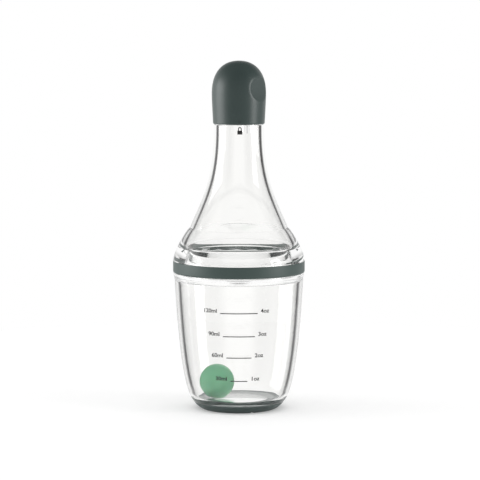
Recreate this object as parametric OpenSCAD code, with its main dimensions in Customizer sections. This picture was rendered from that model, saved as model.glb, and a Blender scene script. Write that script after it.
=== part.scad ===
// Salad dressing shaker bottle, in millimetres, +Z up, front towards -Y.
// A clear cup and a clear bottle top screw together over a green ring. A cap twists on a clear
// pour insert in the bottle's throat, a soft foot rings the base, and a loose ball mixes the dressing.
// The origin is the centre of the foot's underside.

/* [Lower cup] */
// Height of the ledge that carries the ring, above the table
cup_h = 75; // [66:1:100]
// Height of the plain band at the cup's rim, under the ledge
rim_h = 2; // [1.5:0.1:4]
// How far the rim band stands out beyond the wall below it
rim_lip = 0.3; // [0.1:0.05:0.5]
// Outside diameter where the clear wall meets the foot
heel_d = 49.6; // [46:0.2:54]
// Thickness of the cup's wall
cup_wall = 3.2; // [2.6:0.1:3.6]
// Thickness of the cup's floor at its middle
floor_t = 3.4; // [2.6:0.1:4.4]
// Diameter of the flat middle of the floor, inside
floor_d = 40; // [36:1:42]
// Height of the rounding between floor and wall
floor_round = 5; // [3:0.5:7]

/* [Foot] */
// Height of the soft foot
foot_h = 4; // [3.4:0.1:6]
// Diameter of the ring that the foot stands on
foot_d = 40; // [37:0.5:44]
// Diameter of the foot's open middle
foot_hole_d = 32; // [26:0.5:35]
// Thickness of the foot at its open middle
foot_t = 2.2; // [1.6:0.1:3]
// Width of the vent notch in the foot's lower edge
notch_w = 2; // [1:0.1:4]
// Height of the vent notch
notch_h = 0.8; // [0.4:0.1:1.2]
// Turn of the vent notch from the front
notch_turn = 21; // [0:1:90]

/* [Ring] */
// Outside diameter of the ring, which is the bottle's widest
ring_d = 72; // [71:0.5:78]
// Width of the ring between its inner and outer side
ring_w = 2.4; // [1.8:0.1:3]
// Height of the ring
ring_h = 6.5; // [5.5:0.5:7.5]
// How far the ring stands out beyond the cup's rim
ring_proud = 0.3; // [0.1:0.05:0.6]
// Rounding of the ring's lower edge
ring_round = 0.9; // [0.4:0.1:1.5]

/* [Screw joint] */
// Thickness of the top's skirt, which turns inside the ring
skirt_w = 2.7; // [2.3:0.1:3.2]
// Thickness of the cup's neck
neck_wall = 2.3; // [2.1:0.1:2.8]
// Height of the neck above the ledge
neck_h = 12.6; // [11.6:0.1:14]
// Width of the bevel in the neck's mouth
lip_w = 1.5; // [0.8:0.1:1.6]
// Height of the bevel
lip_h = 3.9; // [1:0.1:5]
// Depth of the narrowing's lower end below the ledge, inside the cup
narrow_low = 3.5; // [3.3:0.1:4.5]
// Depth of the narrowing's upper end below the ledge
narrow_top = 1; // [0.8:0.1:1.2]
// Rise of the thread in one turn
thread_pitch = 3.4; // [3.2:0.1:4]
// Number of turns of each thread
thread_turns = 1.1; // [0.8:0.1:1.2]
// Height of the thread's ridge
thread_depth = 1.3; // [0.9:0.1:1.4]
// Width of the ridge at its root
thread_root_w = 2; // [1.6:0.1:2.2]
// Width of the ridge at its crest
thread_crest_w = 0.8; // [0.5:0.1:1.2]

/* [Bottle top] */
// Height from the ceiling over the neck to the crease above the shoulder
crown_h = 11.6; // [10:0.1:14]
// Width of the ceiling over the neck
ceiling_w = 1; // [0.6:0.1:1.4]
// Diameter at the crease where the slender top leaves the shoulder
crease_d = 53.6; // [51:0.2:57]
// Height from the crease to the throat
flare_h = 54.5; // [44:0.5:70]
// Outside diameter of the throat
throat_d = 27.2; // [26.8:0.1:27.8]
// Height of the straight throat below the cap
throat_h = 1.9; // [1:0.1:6]
// Thickness of the bottle top's wall
top_wall = 2.6; // [2.3:0.1:2.7]
// Diameter of the finish, the part of the neck inside the cap
finish_d = 25.2; // [24.8:0.1:25.4]
// Height of the finish
finish_h = 12.1; // [10:0.1:16]

/* [Pour insert] */
// Height of the insert's sleeve inside the throat
sleeve_h = 11; // [9:0.5:14]
// Thickness of the sleeve
sleeve_wall = 2.3; // [1.9:0.1:2.8]
// Length of the snap legs below the sleeve
leg_h = 5.6; // [3:0.1:9]
// Width of a snap leg
leg_w = 3.9; // [2.5:0.1:6]
// Thickness of a snap leg
leg_t = 1.1; // [0.8:0.1:1.6]
// Turn of the first snap leg from the front
leg_turn = 35; // [25:1:60]
// Width of the guide rib beside the legs
rib_w = 0.9; // [0.6:0.1:1.5]
// Length of the guide rib
rib_h = 4.5; // [2:0.1:7]
// Turn of the guide rib from the front
rib_turn = 14; // [8:1:20]
// Thickness of the flange that rests on the neck
flange_t = 1.5; // [1:0.1:2.5]
// Height of the spout above the flange
spout_h = 11.5; // [10:0.1:16]
// Outside diameter of the spout
spout_d = 10.6; // [9:0.2:11]
// Bore of the spout
spout_bore_d = 7.8; // [6.2:0.1:8.4]
// Height of the funnel from the sleeve's bore up to the spout's
funnel_h = 3; // [2:0.1:5]
// Diameter of the seal's cord
seal_cord_d = 1.5; // [1.2:0.1:1.7]

/* [Twist lock] */
// Diameter of the boss that carries the locking lugs
boss_d = 13.6; // [13:0.2:14.2]
// Height of the boss above the flange
boss_h = 5; // [4.9:0.1:6]
// How far the lugs stand out from the boss
lug_out = 1.2; // [0.8:0.1:1.6]
// Height of a lug
lug_h = 2; // [1.2:0.1:2.1]
// Angle that a lug spans
lug_angle = 32; // [20:1:36]
// Angle that the cap turns to unlock
unlock_angle = 60; // [54:1:60]

/* [Cap] */
// Largest diameter of the cap
cap_d = 29.5; // [29:0.1:31]
// Diameter of the cap's lower edge
cap_mouth_d = 28.1; // [27.9:0.1:28.8]
// Height of the dome, down to the largest diameter
dome_h = 17.4; // [17:0.1:20]
// Thickness of the dome over the liner
dome_t = 5.9; // [5.5:0.1:10]
// Outside diameter of the liner
liner_d = 20.2; // [19.8:0.1:20.8]
// Height from the cap's inner step up to the liner's lower edge
liner_recess = 0.5; // [0.3:0.1:0.8]
// Thickness of the liner's roof
liner_roof_t = 1.5; // [1:0.1:2.5]
// Thickness of the seal pad that closes the spout
pad_t = 2; // [1:0.1:3]
// Radius of the thumb scoops' curve
scoop_r = 16; // [12:0.1:17]
// Depth of the thumb scoops
scoop_depth = 2.4; // [1.2:0.1:2.5]
// Drop of the scoops' middle below the cap's top
scoop_drop = 13.5; // [13:0.1:15]
// Turn of the first scoop from the front
scoop_turn = 57; // [0:1:90]

/* [Mixing ball] */
// Diameter of the ball
ball_d = 19; // [14:0.5:19.5]
// The ball's place to the right of the middle
ball_x = -12; // [-13:0.5:13]
// The ball's place behind the middle
ball_y = -2; // [-5:0.5:5]

/* [Fits] */
// Gap between pieces that turn or slide on each other
run_gap = 0.3; // [0.2:0.05:0.35]
// Gap between the insert's seal and the throat
seal_gap = 0.05; // [0.02:0.01:0.1]
// Gap under the ball, and round the seal in its groove
rest_gap = 0.05; // [0.02:0.01:0.1]

/* [Hidden] */
$fn = 96;
STEPS = 14; // straight pieces in a long curve
FEW = 5; // straight pieces in a short curve
EDGE = 0.4; // softened edges of the clear pieces
BITE = 0.3; // how deep an added rib reaches into what carries it
PAST = 1; // how far a cut reaches beyond what it cuts
THREAD_STEP = 7.5; // degrees from ring to ring along a thread
FADE = 3; // steps over which a thread's end rises from the wall
BLUNT = 0.2; // height of a thread's very end, in such steps
CLEAR = 0.1; // room between the skirt's end and its thread
LUGS = 3; // locking lugs, each with a gap in the keeper
LUG_PLAY = 8; // degrees by which a gap is wider than a lug
LUG_TOP = 0.2; // height of the boss above its lugs
STOP_PLAY = 3; // degrees left free between a lug and the stops
INSET = 0.2; // how far the keeper and the legs stand back from the edges beside them

// Radii
ring_r = ring_d / 2;
rim_r = ring_r - ring_proud;
wall_r = rim_r - rim_lip;
heel_r = heel_d / 2;
foot_hole_r = foot_hole_d / 2;
ring_in_r = ring_r - ring_w;
skirt_r = ring_in_r - run_gap;
chamber_r = skirt_r - skirt_w;
crown_r = chamber_r - ceiling_w;
neck_r = chamber_r - run_gap - thread_depth;
mouth_r = neck_r - neck_wall;
throat_r = throat_d / 2;
finish_r = finish_d / 2;
bore_r = throat_r - top_wall;
sleeve_r = bore_r - run_gap;
sleeve_in_r = sleeve_r - sleeve_wall;
seal_r = bore_r - seal_gap - seal_cord_d / 2;
groove_r = seal_r - seal_cord_d / 2;
boss_r = boss_d / 2;
lug_r = boss_r + lug_out;
keeper_r = boss_r + run_gap;
liner_in_r = lug_r + run_gap;
liner_r = liner_d / 2;
cap_in_r = finish_r + run_gap;
cap_r = cap_d / 2;

// Heights
floor_z = foot_t + floor_t;
rim_z = cup_h - rim_h;
joint_z = cup_h + ring_h;
skirt_z = cup_h + run_gap;
neck_z = cup_h + neck_h;
ceiling_z = neck_z + run_gap;
crease_z = ceiling_z + crown_h;
throat_z = crease_z + flare_h;
step_z = throat_z + throat_h;
finish_z = step_z + finish_h;
flange_z = finish_z + flange_t;
spout_z = flange_z + spout_h;
sleeve_z = finish_z - sleeve_h;
lug_z = flange_z + boss_h - lug_h - LUG_TOP;
liner_z = flange_z + run_gap + liner_recess;
pad_z = spout_z + pad_t;
roof_z = pad_z + liner_roof_t;
cap_z = roof_z + dome_t;
widest_z = cap_z - dome_h;
cap_low_z = step_z + run_gap;

// Points on a curve from a to d with handles b and c, and on one with a single handle b
function bend(a, b, c, d, n) = [for (i = [0:n]) let (t = i / n, u = 1 - t)
    u * u * u * a + 3 * u * u * t * b + 3 * u * t * t * c + t * t * t * d];
function round_off(a, b, c, n) = [for (i = [0:n]) let (t = i / n, u = 1 - t)
    u * u * a + 2 * u * t * b + t * t * c];
// The point that lies a share of the way from a to b, across and up
function part_way(a, b, share) = a + [share.x * (b - a).x, share.y * (b - a).y];
// A curve from a to b whose two handles lie at shares of that way
function swept(a, b, near_a, near_b, n) = bend(a, part_way(a, b, near_a), part_way(a, b, near_b), b, n);
// The path moved sideways by d, to the left of its direction
function beside(path, d) = [for (i = [0:len(path) - 1]) let (
    ahead = path[min(i + 1, len(path) - 1)] - path[max(i - 1, 0)],
    left = [-ahead.y, ahead.x] / norm(ahead)) path[i] + d * left];
function back_to_front(path) = [for (i = [len(path) - 1:-1:0]) path[i]];
// The path without its first point, to follow on from a path that ends there
function rest(path) = [for (i = [1:len(path) - 1]) path[i]];
function between(path, low, high) = [for (p = path) if (p.y > low && p.y < high) p];

// The cup's outline from the heel up to the rim, and the foot's from the table up to the heel
cup_curve = swept([heel_r, foot_h], [wall_r, rim_z], [0.77, 0.11], [0.91, 0.85], STEPS);
foot_curve = swept([foot_d / 2, 0], [heel_r, foot_h], [0.42, 0.17], [0.85, 0.7], 2 * FEW);
// The cup's inner wall, from the rounding above the floor up to the narrowing below the neck
cup_inner = between(beside(cup_curve, cup_wall), floor_z + floor_round, cup_h - narrow_low);

// The bottle top's outline from the ring up to the crease and on to the throat, and its inner side
shoulder_curve = swept([ring_r, joint_z], [crease_d / 2, crease_z], [0.09, 0.37], [0.78, 0.91], 10);
flare_curve = swept([crease_d / 2, crease_z], [throat_r, throat_z], [0.545, 0.317], [1, 0.486], STEPS);
flare_inner = beside(flare_curve, top_wall);
crown_curve = swept(flare_inner[0], [crown_r, ceiling_z], [0.54, 0.34], [1, 0.85], 8);

// Points on a circle in the XY plane, azimuth 0 at the front and growing to the right
module at_azimuth(a) rotate([0, 0, a - 90]) children();

module sector(r_in, r_out, z_low, z_high, angle) {
    rotate([0, 0, -angle / 2])
        rotate_extrude(angle = angle)
            translate([r_in, z_low]) square([r_out - r_in, z_high - z_low]);
}

// One helical ridge on a wall of radius root; grow is +1 outwards or -1 inwards. It starts at z_start
// over the +X axis, and its height fades to nothing at both ends.
module thread_ridge(root, grow, z_start) {
    n = ceil(thread_turns * 360 / THREAD_STEP);
    ring = [for (i = [0:n]) let (
        a = i * thread_turns * 360 / n,
        z = z_start + thread_pitch * a / 360,
        tall = thread_depth * min(1, (min(i, n - i) + BLUNT) / FADE),
        foot = root - grow * BITE,
        tip = root + grow * tall)
        [[foot, z - thread_root_w / 2], [tip, z - thread_crest_w / 2],
         [tip, z + thread_crest_w / 2], [foot, z + thread_root_w / 2], a]];
    points = [for (g = ring) for (k = [0:3]) [g[k].x * cos(g[4]), g[k].x * sin(g[4]), g[k].y]];
    sides = [for (i = [0:n - 1]) for (k = [0:3]) let (
        a = 4 * i + k, b = 4 * i + (k + 1) % 4, c = a + 4, d = b + 4)
        each grow > 0 ? [[a, b, d], [a, d, c]] : [[a, d, b], [a, c, d]]];
    ends = grow > 0 ? [[0, 2, 1], [0, 3, 2], [4 * n, 4 * n + 1, 4 * n + 2], [4 * n, 4 * n + 2, 4 * n + 3]]
                    : [[0, 1, 2], [0, 2, 3], [4 * n, 4 * n + 2, 4 * n + 1], [4 * n, 4 * n + 3, 4 * n + 2]];
    polyhedron(points, concat(sides, ends), convexity = 4);
}

// The heights at which the two threads start, half a turn's rise apart
top_thread_z = skirt_z + CLEAR + thread_root_w / 2;
cup_thread_z = top_thread_z + thread_pitch / 2;

module lower_cup() {
    narrow_end = [mouth_r, cup_h - narrow_top];
    wall_end = cup_inner[len(cup_inner) - 1];
    floor_end = [floor_d / 2, floor_z];
    color([0.93, 0.95, 0.95, 0.4]) {
        rotate_extrude() polygon(concat(
            [[0, foot_t], [foot_hole_r, foot_t]],
            cup_curve,
            rest(round_off([wall_r, rim_z], [rim_r, rim_z], [rim_r, rim_z + EDGE], FEW)),
            [[rim_r, cup_h], [neck_r, cup_h]],
            round_off([neck_r, neck_z - EDGE], [neck_r, neck_z], [neck_r - EDGE, neck_z], FEW),
            [[mouth_r + lip_w, neck_z], [mouth_r, neck_z - lip_h]],
            swept(narrow_end, wall_end, [0, 0.5], [1, 0.5], 8),
            rest(back_to_front(cup_inner)),
            rest(round_off(cup_inner[0], part_way(cup_inner[0], floor_end, [0.3, 1]), floor_end, 6)),
            [[0, floor_z]]));
        thread_ridge(neck_r, 1, cup_thread_z);
    }
}

module base_foot() {
    color([0.20, 0.26, 0.25]) difference() {
        rotate_extrude() polygon(concat(foot_curve, [[foot_hole_r, foot_t], [foot_hole_r, 0]]));
        at_azimuth(notch_turn) translate([foot_hole_r + PAST, -notch_w / 2, -PAST])
            cube([heel_r - foot_hole_r, notch_w, notch_h + PAST]);
    }
}

module joint_ring() {
    color([0.27, 0.34, 0.32]) rotate_extrude() polygon(concat(
        [[ring_in_r, cup_h]],
        round_off([ring_r - ring_round, cup_h], [ring_r, cup_h], [ring_r, cup_h + ring_round], FEW),
        [[ring_r, joint_z], [ring_in_r, joint_z]]));
}

module upper_body() {
    color([0.93, 0.95, 0.95, 0.4]) {
        rotate_extrude() polygon(concat(
            [[chamber_r, skirt_z], [skirt_r, skirt_z], [skirt_r, joint_z]],
            shoulder_curve,
            rest(flare_curve),
            round_off([throat_r, step_z - EDGE], [throat_r, step_z], [throat_r - EDGE, step_z], FEW),
            [[finish_r, step_z]],
            round_off([finish_r, finish_z - EDGE], [finish_r, finish_z], [finish_r - EDGE, finish_z], FEW),
            [[bore_r, finish_z]],
            back_to_front(flare_inner),
            rest(crown_curve),
            [[chamber_r, ceiling_z]]));
        thread_ridge(chamber_r, -1, top_thread_z);
    }
}

module pour_insert() {
    groove_h = seal_cord_d + 2 * rest_gap;
    groove_z = (sleeve_z + finish_z) / 2;
    leg_r = sleeve_r - INSET / 2;
    color([0.93, 0.95, 0.95, 0.5]) {
        rotate_extrude() polygon([
            [sleeve_in_r, sleeve_z], [sleeve_r, sleeve_z],
            [sleeve_r, groove_z - groove_h / 2], [groove_r, groove_z - groove_h / 2],
            [groove_r, groove_z + groove_h / 2], [sleeve_r, groove_z + groove_h / 2],
            [sleeve_r, finish_z], [finish_r, finish_z], [finish_r, flange_z], [boss_r, flange_z],
            [boss_r, flange_z + boss_h], [spout_d / 2, flange_z + boss_h], [spout_d / 2, spout_z],
            [spout_bore_d / 2, spout_z], [spout_bore_d / 2, finish_z], [sleeve_in_r, finish_z - funnel_h]]);
        for (k = [0:LUGS - 1]) rotate([0, 0, 360 / LUGS * k]) {
            at_azimuth(leg_turn)
                sector(sleeve_r - leg_t, leg_r, sleeve_z - leg_h, sleeve_z + BITE,
                       leg_w / sleeve_r * 180 / PI);
            sector(boss_r - BITE, lug_r, lug_z, lug_z + lug_h, lug_angle);
        }
        at_azimuth(rib_turn)
            sector(sleeve_r - leg_t, leg_r, sleeve_z - rib_h, sleeve_z + BITE,
                   rib_w / sleeve_r * 180 / PI);
    }
}

module insert_seal() {
    color([0.85, 0.87, 0.86]) translate([0, 0, (sleeve_z + finish_z) / 2])
        rotate_extrude() translate([seal_r, 0]) circle(d = seal_cord_d, $fn = 32);
}

module cap_shell() {
    color([0.22, 0.28, 0.27]) difference() {
        rotate_extrude() polygon(concat(
            swept([cap_mouth_d / 2, cap_low_z], [cap_r, widest_z], [0.75, 0.62], [1, 0.76], 6),
            rest(swept([cap_r, widest_z], [0, cap_z], [0, 0.605], [0.356, 1], STEPS)),
            [[0, roof_z], [liner_r, roof_z], [liner_r, flange_z + run_gap],
             [cap_in_r, flange_z + run_gap], [cap_in_r, cap_low_z]]));
        for (k = [0:1])
            at_azimuth(scoop_turn + 180 * k)
                translate([cap_r - scoop_depth + scoop_r, 0, cap_z - scoop_drop])
                    rotate([90, 0, 0]) cylinder(r = scoop_r, h = 2 * cap_d, center = true);
    }
}

module cap_liner() {
    keeper_z = lug_z - run_gap;
    spacing = 360 / LUGS;
    gap_angle = lug_angle + LUG_PLAY;
    stop_angle = spacing - unlock_angle - gap_angle - STOP_PLAY;
    stop_turn = (spacing - gap_angle - stop_angle - STOP_PLAY) / 2;
    color([0.80, 0.83, 0.82]) {
        rotate_extrude() polygon([
            [liner_in_r, liner_z], [liner_r, liner_z], [liner_r, roof_z], [0, roof_z],
            [0, pad_z], [liner_in_r, pad_z]]);
        for (k = [0:LUGS - 1]) {
            rotate([0, 0, spacing * k])
                sector(keeper_r, liner_in_r + BITE, liner_z + INSET, keeper_z, spacing - gap_angle);
            rotate([0, 0, spacing * k + stop_turn])
                sector(keeper_r + INSET / 2, liner_in_r + BITE, keeper_z - BITE, lug_z + lug_h, stop_angle);
        }
    }
}

module cap_seal() {
    color([0.85, 0.87, 0.86]) translate([0, 0, spout_z]) cylinder(r = liner_in_r, h = pad_t);
}

module mixing_ball() {
    color([0.45, 0.66, 0.53]) translate([ball_x, ball_y, floor_z + rest_gap + ball_d / 2]) sphere(d = ball_d);
}

lower_cup();
base_foot();
joint_ring();
upper_body();
pour_insert();
insert_seal();
cap_shell();
cap_liner();
cap_seal();
mixing_ball();
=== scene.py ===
"""Salad dressing shaker bottle: the looks of every piece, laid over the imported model.

The bottle stands on z = 0 with its front towards -Y. Outlines are lists of (radius, height) in millimetres, and MM
turns them into metres. Heights and radii that the frame holds are read from its boxes.
"""

import math

import bmesh
import bpy
import numpy as np
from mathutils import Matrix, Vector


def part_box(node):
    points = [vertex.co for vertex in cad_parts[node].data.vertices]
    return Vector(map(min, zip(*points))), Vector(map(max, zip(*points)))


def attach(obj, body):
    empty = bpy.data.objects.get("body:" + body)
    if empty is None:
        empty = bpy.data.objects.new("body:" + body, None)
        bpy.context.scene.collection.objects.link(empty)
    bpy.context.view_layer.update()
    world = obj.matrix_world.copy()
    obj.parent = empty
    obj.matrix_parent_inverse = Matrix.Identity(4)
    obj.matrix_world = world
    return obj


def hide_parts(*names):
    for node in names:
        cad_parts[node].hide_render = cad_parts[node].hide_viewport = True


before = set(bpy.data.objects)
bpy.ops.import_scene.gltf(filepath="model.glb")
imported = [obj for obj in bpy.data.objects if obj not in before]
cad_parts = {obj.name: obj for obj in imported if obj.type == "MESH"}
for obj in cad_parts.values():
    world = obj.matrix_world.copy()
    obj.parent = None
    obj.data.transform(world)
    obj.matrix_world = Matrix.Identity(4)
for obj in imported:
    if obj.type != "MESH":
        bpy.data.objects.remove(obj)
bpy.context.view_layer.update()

MM = 0.001
TAU = 2 * math.pi


# The frame's own sizes, in millimetres
def node_top(node):
    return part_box(node)[1][2] / MM


def node_bottom(node):
    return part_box(node)[0][2] / MM


def node_radius(node):
    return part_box(node)[1][1] / MM


LEDGE_Z = node_bottom("joint_ring")
JOINT_Z = node_top("joint_ring")
RING_R = node_radius("joint_ring")
RIM_R = node_radius("lower_cup")
NECK_Z = node_top("lower_cup")
HEEL_R = node_radius("base_foot")
HEEL_Z = node_top("base_foot")
FINISH_Z = node_top("upper_body")
CAP_LOW_Z = node_bottom("cap_shell")
CAP_Z = node_top("cap_shell")
CAP_R = node_radius("cap_shell")
ROOF_Z = node_top("cap_liner")
LINER_R = node_radius("cap_liner")
FLANGE_R = node_radius("pour_insert")

# Sizes inside the pieces, as the construction has them
RUN_GAP = 0.3
CUP_WALL = 3.2
RIM_H = 2.0
RIM_LIP = 0.3
FOOT_R = 20.0
FOOT_HOLE_R = 16.0
FOOT_T = 2.2
FLOOR_Z = 5.6
FLOOR_R = 20.0
FLOOR_ROUND = 5.0
NOTCH_W = 2.0
NOTCH_H = 0.8
NOTCH_TURN = 21.0
RING_W = 2.4
RING_ROUND = 0.9
SKIRT_W = 2.7
CEILING_W = 1.0
NECK_WALL = 2.3
LIP_W = 1.5
LIP_H = 3.9
NARROW_LOW = 3.5
NARROW_TOP = 1.0
THREAD_PITCH = 3.4
THREAD_TURNS = 1.1
THREAD_DEPTH = 1.3
THREAD_ROOT = 2.0
THREAD_CREST = 0.8
CREASE_R = 26.8
CROWN_H = 11.6
THROAT_R = 13.6
THROAT_H = 1.9
TOP_WALL = 2.6
EDGE = 0.4
FLANGE_T = 1.5
DOME_H = 17.4
CAP_MOUTH_R = 14.05
SCOOP_R = 16.0
SCOOP_DEPTH = 2.4
SCOOP_DROP = 13.5
SCOOP_TURN = 57.0

RIM_Z = LEDGE_Z - RIM_H
WALL_R = RIM_R - RIM_LIP
SKIRT_Z = LEDGE_Z + RUN_GAP
RING_IN_R = RING_R - RING_W
SKIRT_R = RING_IN_R - RUN_GAP
CHAMBER_R = SKIRT_R - SKIRT_W
CROWN_R = CHAMBER_R - CEILING_W
NECK_R = CHAMBER_R - RUN_GAP - THREAD_DEPTH
MOUTH_R = NECK_R - NECK_WALL
CEILING_Z = NECK_Z + RUN_GAP
CREASE_Z = CEILING_Z + CROWN_H
STEP_Z = CAP_LOW_Z - RUN_GAP
THROAT_Z = STEP_Z - THROAT_H
FINISH_R = FLANGE_R
BORE_R = THROAT_R - TOP_WALL
FLANGE_Z = FINISH_Z + FLANGE_T
TOP_THREAD_Z = SKIRT_Z + 0.1 + THREAD_ROOT / 2
CUP_THREAD_Z = TOP_THREAD_Z + THREAD_PITCH / 2

# The film of air that is left between a clear piece and the soft one it touches, and how far the foot, which is
# moulded on, is sunk into the clear cup so that no film is left
AIR = 0.08
SUNK = 0.03

# How finely the round pieces are cut
TURNS = 192
LONG = 48
SHORT = 8


# Camera: the photograph's distance, height and angle of view
CAMERA_DISTANCE = 1.440
CAMERA_HEIGHT = 0.2458
AIM_HEIGHT = 0.0925
AIM_RIGHT = 0.0006
VIEW_ANGLE = 10.35


def make_camera():
    data = bpy.data.cameras.new("camera")
    data.sensor_fit = "HORIZONTAL"
    data.angle = math.radians(VIEW_ANGLE)
    data.clip_start = 0.05
    data.clip_end = 20
    camera = bpy.data.objects.new("camera", data)
    bpy.context.scene.collection.objects.link(camera)
    camera.location = (AIM_RIGHT, -CAMERA_DISTANCE, CAMERA_HEIGHT)
    drop = math.atan2(CAMERA_HEIGHT - AIM_HEIGHT, CAMERA_DISTANCE)
    camera.rotation_euler = (math.pi / 2 - drop, 0, 0)
    bpy.context.scene.camera = camera


make_camera()


# Outlines
def bend(a, b, c, d, n=LONG):
    """Points on a curve from a to d with handles b and c."""
    t = np.linspace(0, 1, n + 1)[:, None]
    u = 1 - t
    a, b, c, d = (np.array(p, float) for p in (a, b, c, d))
    return u**3 * a + 3 * u * u * t * b + 3 * u * t * t * c + t**3 * d


def round_off(a, b, c, n=SHORT):
    """Points on a curve from a to c that is pulled towards b."""
    t = np.linspace(0, 1, n + 1)[:, None]
    u = 1 - t
    a, b, c = (np.array(p, float) for p in (a, b, c))
    return u * u * a + 2 * u * t * b + t * t * c


def part_way(a, b, share):
    """The point that lies a share of the way from a to b, across and up."""
    a, b, share = (np.array(p, float) for p in (a, b, share))
    return a + share * (b - a)


def swept(a, b, near_a, near_b, n=LONG):
    """Points on a curve from a to b whose two handles lie at shares of that way."""
    return bend(a, part_way(a, b, near_a), part_way(a, b, near_b), b, n)


def beside(path, distance):
    """The path moved sideways, to the left of its direction."""
    ahead = np.gradient(path, axis=0)
    left = np.stack([-ahead[:, 1], ahead[:, 0]], axis=1)
    return path + distance * left / np.hypot(left[:, 0], left[:, 1])[:, None]


def line(a, b, n):
    return np.linspace(a, b, n + 1)


def outline(*pieces):
    """The pieces joined end to end, each doubled point kept once."""
    points = []
    for piece in pieces:
        for p in np.atleast_2d(np.array(piece, float)):
            if not points or np.hypot(*(p - points[-1])) > 1e-4:
                points.append(p)
    if np.hypot(*(points[0] - points[-1])) < 1e-4:
        points.pop()
    return np.array(points)


def link(name, mesh, body, replaces=None, material=None):
    obj = bpy.data.objects.new(name, mesh)
    bpy.context.scene.collection.objects.link(obj)
    if material:
        mesh.materials.append(material)
    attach(obj, body)
    if replaces:
        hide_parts(replaces)
    return obj


def lathe(name, points, mould=None, turns=TURNS, sharp=35):
    """A closed mesh from an outline that is closed, or that starts and ends on the axis.

    mould(angle, r, z) gives the new radius and height. Where faces meet at more than sharp degrees the edge is hard.
    """
    on_axis = points[0][0] < 1e-6 and points[-1][0] < 1e-6
    inner = points[1:-1] if on_axis else points
    rings = len(inner)
    angle = np.arange(turns) * TAU / turns
    r = np.repeat(inner[:, 0][:, None], turns, axis=1)
    z = np.repeat(inner[:, 1][:, None], turns, axis=1)
    a = np.repeat(angle[None, :], rings, axis=0)
    if mould:
        r, z = mould(a, r, z)
    verts = np.stack([r * np.sin(a), -r * np.cos(a), z], axis=2).reshape(-1, 3) * MM
    faces = []
    spans = rings - 1 if on_axis else rings
    for i in range(spans):
        k = (i + 1) % rings
        for j in range(turns):
            m = (j + 1) % turns
            faces.append((i * turns + j, i * turns + m, k * turns + m, k * turns + j))
    verts = verts.tolist()
    if on_axis:
        first, last = len(verts), len(verts) + 1
        verts.append((0, 0, points[0][1] * MM))
        verts.append((0, 0, points[-1][1] * MM))
        for j in range(turns):
            m = (j + 1) % turns
            faces.append((first, m, j))
            faces.append((last, (rings - 1) * turns + j, (rings - 1) * turns + m))
    mesh = bpy.data.meshes.new(name)
    mesh.from_pydata(verts, [], faces)
    bm = bmesh.new()
    bm.from_mesh(mesh)
    bmesh.ops.recalc_face_normals(bm, faces=bm.faces)
    for face in bm.faces:
        face.smooth = True
    for edge in bm.edges:
        if len(edge.link_faces) == 2 and edge.calc_face_angle(0) > math.radians(sharp):
            edge.smooth = False
    bm.to_mesh(mesh)
    bm.free()
    return mesh


# Materials
def new_material(name):
    material = bpy.data.materials.new(name)
    material.use_nodes = True
    return material, material.node_tree, material.node_tree.nodes["Principled BSDF"]


def set_values(shader, **values):
    for key, value in values.items():
        shader.inputs[key.replace("_", " ")].default_value = value


def add(tree, kind, **values):
    node = tree.nodes.new(kind)
    for key, value in values.items():
        if isinstance(key, str) and hasattr(node, key):
            setattr(node, key, value)
        else:
            node.inputs[key.replace("_", " ")].default_value = value
    return node


def rough_and_bump(tree, shader, low, high, scale, depth, detail=3.0):
    """Roughness that wanders between low and high, and a fine grain in the surface."""
    place = add(tree, "ShaderNodeTexCoord")
    wander = add(tree, "ShaderNodeTexNoise", Scale=scale * 0.12, Detail=2.0)
    grain = add(tree, "ShaderNodeTexNoise", Scale=scale, Detail=detail)
    span = add(tree, "ShaderNodeMapRange")
    span.inputs["To Min"].default_value = low
    span.inputs["To Max"].default_value = high
    bump = add(tree, "ShaderNodeBump", Strength=0.35, Distance=depth)
    tree.links.new(place.outputs["Object"], wander.inputs["Vector"])
    tree.links.new(place.outputs["Object"], grain.inputs["Vector"])
    tree.links.new(wander.outputs["Fac"], span.inputs["Value"])
    tree.links.new(span.outputs["Result"], shader.inputs["Roughness"])
    tree.links.new(grain.outputs["Fac"], bump.inputs["Height"])
    tree.links.new(bump.outputs["Normal"], shader.inputs["Normal"])


def two_tone(tree, shader, one, other, scale):
    """Two close colours in soft clouds."""
    place = add(tree, "ShaderNodeTexCoord")
    clouds = add(tree, "ShaderNodeTexNoise", Scale=scale, Detail=2.0)
    mix = add(tree, "ShaderNodeMix", data_type="RGBA")
    mix.inputs[6].default_value = (*one, 1)
    mix.inputs[7].default_value = (*other, 1)
    tree.links.new(place.outputs["Object"], clouds.inputs["Vector"])
    tree.links.new(clouds.outputs["Fac"], mix.inputs[0])
    tree.links.new(mix.outputs[2], shader.inputs["Base Color"])


CUP_BEND = 3.5
TOP_BEND = 3.5


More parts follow.
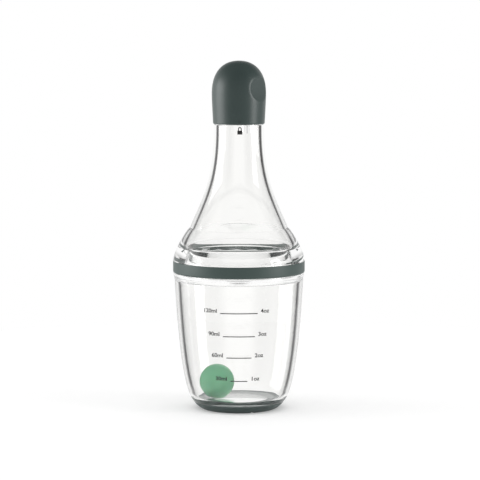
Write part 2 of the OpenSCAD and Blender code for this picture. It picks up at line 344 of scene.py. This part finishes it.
def clear_material(name, tint, rough, last_bend):
    """Clear plastic. Light that has been bent more than last_bend times leaves it straight, so it isn't lost."""
    material, tree, shader = new_material(name)
    set_values(shader, Base_Color=(*tint, 1), Transmission_Weight=1.0, IOR=1.5, Roughness=rough)
    place = add(tree, "ShaderNodeTexCoord")
    flow = add(tree, "ShaderNodeTexNoise", Scale=60.0, Detail=1.0)
    bump = add(tree, "ShaderNodeBump", Strength=0.05, Distance=0.0004)
    tree.links.new(place.outputs["Object"], flow.inputs["Vector"])
    tree.links.new(flow.outputs["Fac"], bump.inputs["Height"])
    tree.links.new(bump.outputs["Normal"], shader.inputs["Normal"])
    path = add(tree, "ShaderNodeLightPath")
    far = add(tree, "ShaderNodeMath", operation="GREATER_THAN")
    far.inputs[1].default_value = last_bend
    straight = add(tree, "ShaderNodeBsdfTransparent")
    mix = add(tree, "ShaderNodeMixShader")
    tree.links.new(path.outputs["Ray Depth"], far.inputs[0])
    tree.links.new(far.outputs[0], mix.inputs[0])
    tree.links.new(shader.outputs[0], mix.inputs[1])
    tree.links.new(straight.outputs[0], mix.inputs[2])
    tree.links.new(mix.outputs[0], tree.nodes["Material Output"].inputs["Surface"])
    return material


def satin_material(name, one, other, low, high, scale=1500.0, depth=0.00004, **values):
    material, tree, shader = new_material(name)
    set_values(shader, **values)
    two_tone(tree, shader, one, other, 90.0)
    rough_and_bump(tree, shader, low, high, scale, depth)
    return material


cup_clear = clear_material("clear_plastic", (0.998, 0.997, 0.989), 0.0, CUP_BEND)
top_clear = clear_material("clear_plastic", (0.998, 0.997, 0.989), 0.0, TOP_BEND)
insert_clear = clear_material("insert_plastic", (0.99, 0.993, 0.992), 0.02, TOP_BEND)
cap_green = satin_material("cap_plastic", (0.036, 0.055, 0.052), (0.040, 0.060, 0.056), 0.33, 0.38)
ring_green = satin_material("ring_silicone", (0.045, 0.070, 0.063), (0.049, 0.075, 0.068), 0.42, 0.5)
foot_green = satin_material("foot_silicone", (0.036, 0.058, 0.053), (0.040, 0.063, 0.058), 0.4, 0.48)
ball_green = satin_material("ball_silicone", (0.130, 0.43, 0.226), (0.142, 0.455, 0.246), 0.30, 0.36,
                            Subsurface_Weight=0.25, Subsurface_Scale=0.004)
milky = satin_material("seal_silicone", (0.80, 0.83, 0.82), (0.76, 0.80, 0.79), 0.4, 0.5)
liner_white = satin_material("liner_plastic", (0.78, 0.81, 0.80), (0.74, 0.78, 0.77), 0.35, 0.45)
ink = satin_material("mark_ink", (0.02, 0.02, 0.02), (0.024, 0.024, 0.024), 0.5, 0.6)
arrow_green = satin_material("cap_plastic", (0.022, 0.032, 0.031), (0.025, 0.035, 0.034), 0.45, 0.55)


# Lower cup
CUP_CURVE = swept((HEEL_R, HEEL_Z), (WALL_R, RIM_Z), (0.77, 0.11), (0.91, 0.85), 64)


def cup_radius(z):
    return np.interp(z, CUP_CURVE[:, 1], CUP_CURVE[:, 0])


def ridge(angle, z, start):
    """How far a thread's ridge stands out, 0 to 1, at an angle in radians from the front."""
    turn = (angle - TAU / 4) % TAU / TAU
    best = np.zeros_like(z)
    for lap in range(3):
        along = turn + lap
        middle = start + THREAD_PITCH * along
        flank = (THREAD_ROOT / 2 - np.abs(z - middle)) / (THREAD_ROOT / 2 - THREAD_CREST / 2)
        fade = np.clip(np.minimum(along, THREAD_TURNS - along) / 0.06, 0, 1)
        best = np.maximum(best, np.clip(flank, 0, 1) * fade)
    return best


def cup_thread(angle, r, z):
    on_neck = (np.abs(r - NECK_R) < 0.01) & (z > LEDGE_Z + 0.5)
    return r + np.where(on_neck, THREAD_DEPTH * ridge(angle, z, CUP_THREAD_Z), 0), z


def top_thread(angle, r, z):
    in_chamber = np.abs(r - CHAMBER_R) < 0.01
    return r - np.where(in_chamber, THREAD_DEPTH * ridge(angle, z, TOP_THREAD_Z), 0), z


def make_cup():
    inner = beside(CUP_CURVE, CUP_WALL)
    inner = inner[(inner[:, 1] > FLOOR_Z + FLOOR_ROUND) & (inner[:, 1] < LEDGE_Z - NARROW_LOW)]
    first, last = inner[0], inner[-1]
    floor_end = (FLOOR_R, FLOOR_Z)
    points = outline(
        line((0, FOOT_T), (FOOT_HOLE_R, FOOT_T), 6),
        line((FOOT_HOLE_R, FOOT_T), (HEEL_R, HEEL_Z), 8),
        CUP_CURVE,
        round_off((WALL_R, RIM_Z), (RIM_R, RIM_Z), (RIM_R, RIM_Z + EDGE))[1:],
        round_off((RIM_R, LEDGE_Z - 0.15), (RIM_R, LEDGE_Z), (RIM_R - 0.15, LEDGE_Z), 3),
        line((NECK_R, LEDGE_Z), (NECK_R, NECK_Z - EDGE), 60),
        round_off((NECK_R, NECK_Z - EDGE), (NECK_R, NECK_Z), (NECK_R - EDGE, NECK_Z)),
        line((MOUTH_R + LIP_W, NECK_Z), (MOUTH_R, NECK_Z - LIP_H), 4),
        swept((MOUTH_R, LEDGE_Z - NARROW_TOP), last, (0, 0.5), (1, 0.5), 32),
        inner[::-1],
        round_off(first, part_way(first, floor_end, (0.3, 1)), floor_end, 14),
        line(floor_end, (GATE_R, FLOOR_Z), 6),
        round_off((GATE_R, FLOOR_Z), (GATE_R - 0.3, FLOOR_Z - GATE_DEPTH), (GATE_R - 0.8, FLOOR_Z - GATE_DEPTH), 4),
        (0, FLOOR_Z - GATE_DEPTH),
    )
    mesh = lathe("cup_glass", points, mould=cup_thread, sharp=20)
    link("cup_glass", mesh, "cup", "lower_cup", cup_clear)


GATE_R = 2.2
GATE_DEPTH = 0.35


def make_top():
    shoulder = swept((RING_R, JOINT_Z), (CREASE_R, CREASE_Z), (0.09, 0.37), (0.78, 0.91), 32)
    flare = swept((CREASE_R, CREASE_Z), (THROAT_R, THROAT_Z), (0.545, 0.317), (1, 0.486))
    inner = beside(flare, TOP_WALL)
    crown = swept(inner[0], (CROWN_R, CEILING_Z), (0.54, 0.34), (1, 0.85), 24)
    points = outline(
        (CHAMBER_R, SKIRT_Z),
        (SKIRT_R, SKIRT_Z),
        (SKIRT_R, JOINT_Z),
        shoulder,
        flare,
        round_off((THROAT_R, STEP_Z - EDGE), (THROAT_R, STEP_Z), (THROAT_R - EDGE, STEP_Z)),
        (FINISH_R, STEP_Z),
        round_off((FINISH_R, FINISH_Z - EDGE), (FINISH_R, FINISH_Z), (FINISH_R - EDGE, FINISH_Z)),
        (BORE_R, FINISH_Z),
        inner[::-1],
        crown,
        line((CHAMBER_R, CEILING_Z), (CHAMBER_R, SKIRT_Z), 60),
    )
    mesh = lathe("top_glass", points, mould=top_thread, sharp=12)
    link("top_glass", mesh, "top", "upper_body", top_clear)


def make_ring():
    low, high, edge = LEDGE_Z + AIR, JOINT_Z - AIR, 0.25
    points = outline(
        (RING_IN_R, low),
        round_off((RING_R - RING_ROUND, low), (RING_R, low), (RING_R, low + RING_ROUND)),
        round_off((RING_R, high - edge), (RING_R, high), (RING_R - edge, high)),
        (RING_IN_R, high),
    )
    link("ring_band", lathe("ring_band", points), "ring", "joint_ring", ring_green)


def foot_notch(angle, r, z):
    """Raises the foot's lower edge over the vent notch."""
    across = (angle - math.radians(NOTCH_TURN)) * FOOT_R
    inside = (np.abs(across) < NOTCH_W / 2) & (r > FOOT_HOLE_R + 1)
    return r, np.where(inside, np.maximum(z, NOTCH_H), z)


def make_foot():
    side = swept((FOOT_R, 0), (HEEL_R, HEEL_Z), (0.42, 0.17), (0.85, 0.7), 24)
    points = outline(
        line((FOOT_HOLE_R + 1.1, 0), (FOOT_R, 0), 3),
        side[:-1],
        line((HEEL_R - SUNK, HEEL_Z + SUNK), (FOOT_HOLE_R, FOOT_T + SUNK), 8),
        (FOOT_HOLE_R, 0),
    )
    mesh = lathe("foot_ring", points, mould=foot_notch, turns=720)
    link("foot_ring", mesh, "cup", "base_foot", foot_green)


def scoop_cut(angle, r, z):
    """How far the two thumb scoops press the cap's surface in, with a soft rim."""
    soft = 0.5
    move = np.zeros_like(r)
    for turn in (SCOOP_TURN, SCOOP_TURN + 180):
        off = angle - math.radians(turn)
        out = r * np.cos(off)
        middle = CAP_R - SCOOP_DEPTH + SCOOP_R
        height = np.clip(SCOOP_R**2 - (z - (CAP_Z - SCOOP_DROP)) ** 2, 0, None)
        wall = np.where(height > 0, middle - np.sqrt(height), 1e3)
        mix = np.clip(0.5 + 0.5 * (wall - out) / soft, 0, 1)
        kept = out * (1 - mix) + wall * mix
        low = np.minimum(out, wall) - soft * mix * (1 - mix) * 0.5
        low = np.where(wall - out > soft, out, low)
        cut = np.where(out > 3, out - low, 0)
        move = np.maximum(move, np.where(cut > 0, cut / np.maximum(np.cos(off), 0.3), 0))
    return -move


def make_cap():
    widest = (CAP_R, CAP_Z - DOME_H)
    skirt = swept((CAP_MOUTH_R, CAP_LOW_Z), widest, (0.75, 0.62), (1, 0.76), 40)
    dome = swept(widest, (0, CAP_Z), (0, 0.605), (0.356, 1), 70)
    lip = 0.25
    outer = outline(
        (0, ROOF_Z),
        (LINER_R, ROOF_Z),
        (LINER_R, FLANGE_Z + RUN_GAP),
        (FINISH_R + RUN_GAP, FLANGE_Z + RUN_GAP),
        (FINISH_R + RUN_GAP, CAP_LOW_Z + lip),
        round_off((FINISH_R + RUN_GAP, CAP_LOW_Z + lip), (FINISH_R + RUN_GAP, CAP_LOW_Z),
                  (FINISH_R + RUN_GAP + lip, CAP_LOW_Z), 3),
        round_off((CAP_MOUTH_R - lip, CAP_LOW_Z), (CAP_MOUTH_R, CAP_LOW_Z), skirt[1], 5),
        skirt[1:],
        dome,
    )

    def scooped(angle, r, z):
        outside = (r > FINISH_R + 0.5) | (r > LINER_R + 0.5) & (z > FLANGE_Z + 0.5) | (z > ROOF_Z + 0.5)
        return r + np.where(outside, scoop_cut(angle, r, z), 0), z

    mesh = lathe("cap_body", outer, mould=scooped, turns=256)
    link("cap_body", mesh, "cap", "cap_shell", cap_green)


def make_ball():
    low, high = (np.array(p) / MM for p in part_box("mixing_ball"))
    middle = (low + high) / 2
    radius = (high[2] - low[2]) / 2
    bm = bmesh.new()
    bmesh.ops.create_uvsphere(bm, u_segments=96, v_segments=64, radius=radius * MM)
    for v in bm.verts:
        v.co.x += middle[0] * MM
        v.co.y += middle[1] * MM
        v.co.z += middle[2] * MM
    for face in bm.faces:
        face.smooth = True
    mesh = bpy.data.meshes.new("ball")
    bm.to_mesh(mesh)
    bm.free()
    link("ball", mesh, "ball", "mixing_ball", ball_green)


make_cup()
make_top()
make_ring()
make_foot()
make_cap()
make_ball()

for node, material in {
    "pour_insert": insert_clear,
    "insert_seal": milky,
    "cap_liner": liner_white,
    "cap_seal": milky,
}.items():
    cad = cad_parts[node]
    for place in cad.material_slots:
        place.material = material


# Printed marks
def wrap(mesh, radius_at, turn, height, thickness, stretch=1.0):
    """Lays a flat drawing, in millimetres, round the bottle at a turn from the front and a height."""
    for v in mesh.vertices:
        x, y, lift = v.co
        z = height + y
        r = float(radius_at(z))
        angle = math.radians(turn) + stretch * x / r
        out = r + thickness * (1 if lift > 0 else 0) + 0.004
        v.co = (out * math.sin(angle) * MM, -out * math.cos(angle) * MM, z * MM)


def flat_shape(name, loops):
    """A filled flat drawing from closed loops of points, in millimetres."""
    curve = bpy.data.curves.new(name, "CURVE")
    curve.dimensions = "2D"
    curve.fill_mode = "BOTH"
    curve.extrude = 0.5
    for loop in loops:
        spline = curve.splines.new("POLY")
        spline.points.add(len(loop) - 1)
        for point, (x, y) in zip(spline.points, loop):
            point.co = (x, y, 0, 1)
        spline.use_cyclic_u = True
    return curve


def print_mark(name, curve, body, radius_at, turn, height, material, stretch=1.0):
    holder = bpy.data.objects.new(name + "_flat", curve)
    bpy.context.scene.collection.objects.link(holder)
    bpy.context.view_layer.update()
    graph = bpy.context.evaluated_depsgraph_get()
    mesh = bpy.data.meshes.new_from_object(holder.evaluated_get(graph))
    bpy.data.objects.remove(holder)
    bm = bmesh.new()
    bm.from_mesh(mesh)
    bmesh.ops.remove_doubles(bm, verts=bm.verts, dist=1e-4)
    bm.to_mesh(mesh)
    bm.free()
    mesh.name = name
    wrap(mesh, radius_at, turn, height, 0.02, stretch)
    bm = bmesh.new()
    bm.from_mesh(mesh)
    bmesh.ops.recalc_face_normals(bm, faces=bm.faces)
    bm.to_mesh(mesh)
    bm.free()
    mesh.materials.clear()
    return link(name, mesh, body, None, material)


def words(name, text, size, side):
    curve = bpy.data.curves.new(name, "FONT")
    curve.body = text
    curve.size = size
    curve.align_x = side
    curve.offset = TEXT_WEIGHT
    curve.extrude = 0.5
    return curve


MARKS = {120: ("4oz", 56.4, 20.4), 90: ("3oz", 43.8, 17.4), 60: ("2oz", 32.1, 13.6), 30: ("1oz", 19.2, 9.2)}
LINE_H = 0.5
TEXT_SIZE = 3.0
TEXT_STRETCH = 1.1
TEXT_WEIGHT = 0.075
TEXT_GAP = 1.75
TEXT_LIFT = 0.35


def make_marks():
    for amount, (ounces, z, length) in MARKS.items():
        half = length / 2
        steps = [-half + length * i / 24 for i in range(25)]
        loop = [(x, -LINE_H / 2) for x in steps] + [(x, LINE_H / 2) for x in reversed(steps)]
        print_mark(f"mark_line_{amount}", flat_shape("mark", [loop]), "cup", cup_radius, 0, z, ink)
        for side, text, sign in (("RIGHT", f"{amount}ml", -1), ("LEFT", ounces, 1)):
            curve = words("mark", text, TEXT_SIZE, side)
            turn = math.degrees(sign * (half + TEXT_GAP) / float(cup_radius(z)))
            print_mark(f"mark_{text}", curve, "cup", cup_radius, turn, z + TEXT_LIFT, ink, TEXT_STRETCH)


def arc(x, y, r, start, end, n=12):
    """Points on an arc round (x, y), from start to end in degrees."""
    turns = np.radians(np.linspace(start, end, n + 1))
    return [(x + r * math.cos(t), y + r * math.sin(t)) for t in turns]


LOCK_TURN = 2.2
LOCK_Z = 151.1


def make_lock_sign():
    """A padlock on the neck and a faint arrow on the cap that points down to it."""
    body = [(-1.35, 0), (1.35, 0), (1.35, 2.1), (-1.35, 2.1)]
    shackle = [(0.98, 2.0)] + arc(0, 3.0, 0.98, 0, 180) + [(-0.98, 2.0), (-0.5, 2.0)] + arc(0, 3.0, 0.5, 180, 0) + [
        (0.5, 2.0)]
    for name, loop in (("lock_body", body), ("lock_shackle", shackle)):
        print_mark(name, flat_shape("mark", [loop]), "top", lambda z: THROAT_R, LOCK_TURN, LOCK_Z, ink)
    arrow = [(-1.1, 2.0), (0, 0.1), (1.1, 2.0)]
    skirt = swept((CAP_MOUTH_R, CAP_LOW_Z), (CAP_R, CAP_Z - DOME_H), (0.75, 0.62), (1, 0.76), 40)
    print_mark("cap_arrow", flat_shape("mark", [arrow]), "cap",
               lambda z: np.interp(z, skirt[:, 1], skirt[:, 0]), LOCK_TURN, CAP_LOW_Z + 0.5, arrow_green)


make_marks()
make_lock_sign()


# World: what the camera and the straight view through the clear walls see is white. Reflections see a room with
# bright sides and a dark ceiling, and light that has been reflected inside a wall sees dark flags on both sides.
OUTER_STOPS = ((0.0, 0.9), (0.12, 0.9), (0.19, 1.5), (0.31, 1.5), (0.37, 0.35), (0.5, 0.3), (0.63, 0.35), (0.67, 1.1),
               (0.73, 1.1), (0.79, 0.5), (0.9, 0.9))
INNER_STOPS = ((0.0, 1.0), (0.14, 1.0), (0.2, 0.2), (0.38, 0.2), (0.5, 0.8), (0.62, 0.07), (0.8, 0.07), (0.86, 1.0))
ZENITH = 0.12
DAYLIGHT_LOW = 0.6
DAYLIGHT_HIGH = 0.85
FLOOR_LIFT = {"Is Camera Ray": 0.205, "Is Glossy Ray": 0.15, "Is Transmission Ray": 0.13}
STAGE_R = 0.34


def sky():
    world = bpy.data.worlds.new("studio")
    bpy.context.scene.world = world
    world.use_nodes = True
    tree = world.node_tree
    tree.nodes.clear()
    path = add(tree, "ShaderNodeLightPath")
    place = add(tree, "ShaderNodeTexCoord")
    split = add(tree, "ShaderNodeSeparateXYZ")
    tree.links.new(place.outputs["Generated"], split.inputs[0])

    def plug(value, socket):
        if hasattr(value, "is_output"):
            tree.links.new(value, socket)
        elif value is not None:
            socket.default_value = value

    def math_node(kind, a, b=None):
        node = add(tree, "ShaderNodeMath", operation=kind)
        plug(a, node.inputs[0])
        plug(b, node.inputs[1])
        return node.outputs[0]

    def choose(test, yes, no):
        node = add(tree, "ShaderNodeMix", data_type="FLOAT")
        plug(test, node.inputs[0])
        plug(no, node.inputs[2])
        plug(yes, node.inputs[3])
        return node.outputs[0]

    def fade(value, low, high, at_low, at_high):
        node = add(tree, "ShaderNodeMapRange", From_Min=low, From_Max=high, To_Min=at_low, To_Max=at_high)
        plug(value, node.inputs["Value"])
        return node.outputs["Result"]

    def steps(value, stops):
        node = add(tree, "ShaderNodeValToRGB")
        elements = node.color_ramp.elements
        while len(elements) < len(stops):
            elements.new(0.5)
        for element, (at, level) in zip(elements, stops):
            element.position = at
        for element, (at, level) in zip(elements, stops):
            element.color = (level, level, level, 1)
        plug(value, node.inputs["Fac"])
        return node.outputs["Color"]

    up = split.outputs["Z"]
    azimuth = math_node("ARCTAN2", split.outputs["X"], math_node("MULTIPLY", split.outputs["Y"], -1.0))
    around = math_node("ADD", math_node("DIVIDE", azimuth, TAU), 0.5)
    behind = math_node("DIVIDE", math_node("ABSOLUTE", azimuth), math.pi)
    outer = math_node("MULTIPLY", steps(around, OUTER_STOPS), fade(up, 0.15, 0.7, 1.0, ZENITH))
    steep = fade(math_node("ABSOLUTE", up), 0.3, 0.6, 0.0, 1.0)
    inner = choose(steep, 1.0, steps(behind, INNER_STOPS))
    reflected = math_node("GREATER_THAN", path.outputs["Glossy Depth"], 0.5)
    inside = math_node("GREATER_THAN", path.outputs["Transmission Depth"], 0.5)
    scattered = math_node("GREATER_THAN", path.outputs["Diffuse Depth"], 0.5)
    seen = choose(reflected, choose(inside, inner, outer), 1.0)
    level = choose(scattered, fade(up, -1.0, 1.0, DAYLIGHT_LOW, DAYLIGHT_HIGH), seen)
    background = add(tree, "ShaderNodeBackground", Color=(1, 1, 1, 1))
    plug(level, background.inputs["Strength"])
    out = add(tree, "ShaderNodeOutputWorld")
    tree.links.new(background.outputs[0], out.inputs["Surface"])


def softbox(name, azimuth, elevation, distance, width, height, power):
    light = bpy.data.lights.new(name, "AREA")
    light.shape = "RECTANGLE"
    light.size = width
    light.size_y = height
    light.energy = power
    obj = bpy.data.objects.new(name, light)
    bpy.context.scene.collection.objects.link(obj)
    obj.visible_camera = False
    obj.visible_transmission = False
    a, e = math.radians(azimuth), math.radians(elevation)
    target = np.array([0, 0, 0.12])
    spot = target + distance * np.array([math.sin(a) * math.cos(e), -math.cos(a) * math.cos(e), math.sin(e)])
    obj.location = spot
    obj.rotation_euler = (math.pi / 2 - e, 0, a)


def make_floor():
    """A white disc whose lift, seen directly or through the clear walls, makes it as white as the background.

    Light that has been reflected inside a clear wall passes through it to the world below.
    """
    bm = bmesh.new()
    bmesh.ops.create_circle(bm, cap_ends=True, segments=96, radius=STAGE_R)
    mesh = bpy.data.meshes.new("floor")
    bm.to_mesh(mesh)
    bm.free()
    floor = bpy.data.objects.new("floor", mesh)
    bpy.context.scene.collection.objects.link(floor)
    material, tree, shader = new_material("floor")
    set_values(shader, Base_Color=(0.9, 0.9, 0.9, 1), Roughness=0.9, Specular_IOR_Level=0.0,
               Emission_Color=(1, 1, 1, 1))
    path = add(tree, "ShaderNodeLightPath")
    lift = None
    for ray, amount in FLOOR_LIFT.items():
        share = add(tree, "ShaderNodeMath", operation="MULTIPLY")
        tree.links.new(path.outputs[ray], share.inputs[0])
        share.inputs[1].default_value = amount
        node = add(tree, "ShaderNodeMath", operation="MAXIMUM")
        tree.links.new(share.outputs[0], node.inputs[0])
        node.inputs[1].default_value = 0.0
        if lift:
            tree.links.new(lift.outputs[0], node.inputs[1])
        lift = node
    tree.links.new(lift.outputs[0], shader.inputs["Emission Strength"])
    reflected = add(tree, "ShaderNodeMath", operation="GREATER_THAN")
    inside = add(tree, "ShaderNodeMath", operation="GREATER_THAN")
    both = add(tree, "ShaderNodeMath", operation="MULTIPLY")
    for node, depth in ((reflected, "Glossy Depth"), (inside, "Transmission Depth")):
        tree.links.new(path.outputs[depth], node.inputs[0])
        node.inputs[1].default_value = 0.5
    tree.links.new(reflected.outputs[0], both.inputs[0])
    tree.links.new(inside.outputs[0], both.inputs[1])
    place = add(tree, "ShaderNodeTexCoord")
    reach = add(tree, "ShaderNodeVectorMath", operation="LENGTH")
    beyond = add(tree, "ShaderNodeMath", operation="GREATER_THAN")
    beyond.inputs[1].default_value = HEEL_R * MM
    tree.links.new(place.outputs["Object"], reach.inputs[0])
    tree.links.new(reach.outputs["Value"], beyond.inputs[0])
    gone = add(tree, "ShaderNodeMath", operation="MULTIPLY")
    tree.links.new(both.outputs[0], gone.inputs[0])
    tree.links.new(beyond.outputs[0], gone.inputs[1])
    hole = add(tree, "ShaderNodeBsdfTransparent")
    mix = add(tree, "ShaderNodeMixShader")
    tree.links.new(gone.outputs[0], mix.inputs[0])
    tree.links.new(shader.outputs[0], mix.inputs[1])
    tree.links.new(hole.outputs[0], mix.inputs[2])
    tree.links.new(mix.outputs[0], tree.nodes["Material Output"].inputs["Surface"])
    mesh.materials.append(material)


sky()
softbox("left_box", -89, 6, 1.4, 1.0, 0.8, 8)
softbox("right_box", 69, 6, 1.4, 0.5, 0.8, 6.5)
make_floor()

bpy.context.scene.view_settings.view_transform = "Standard"
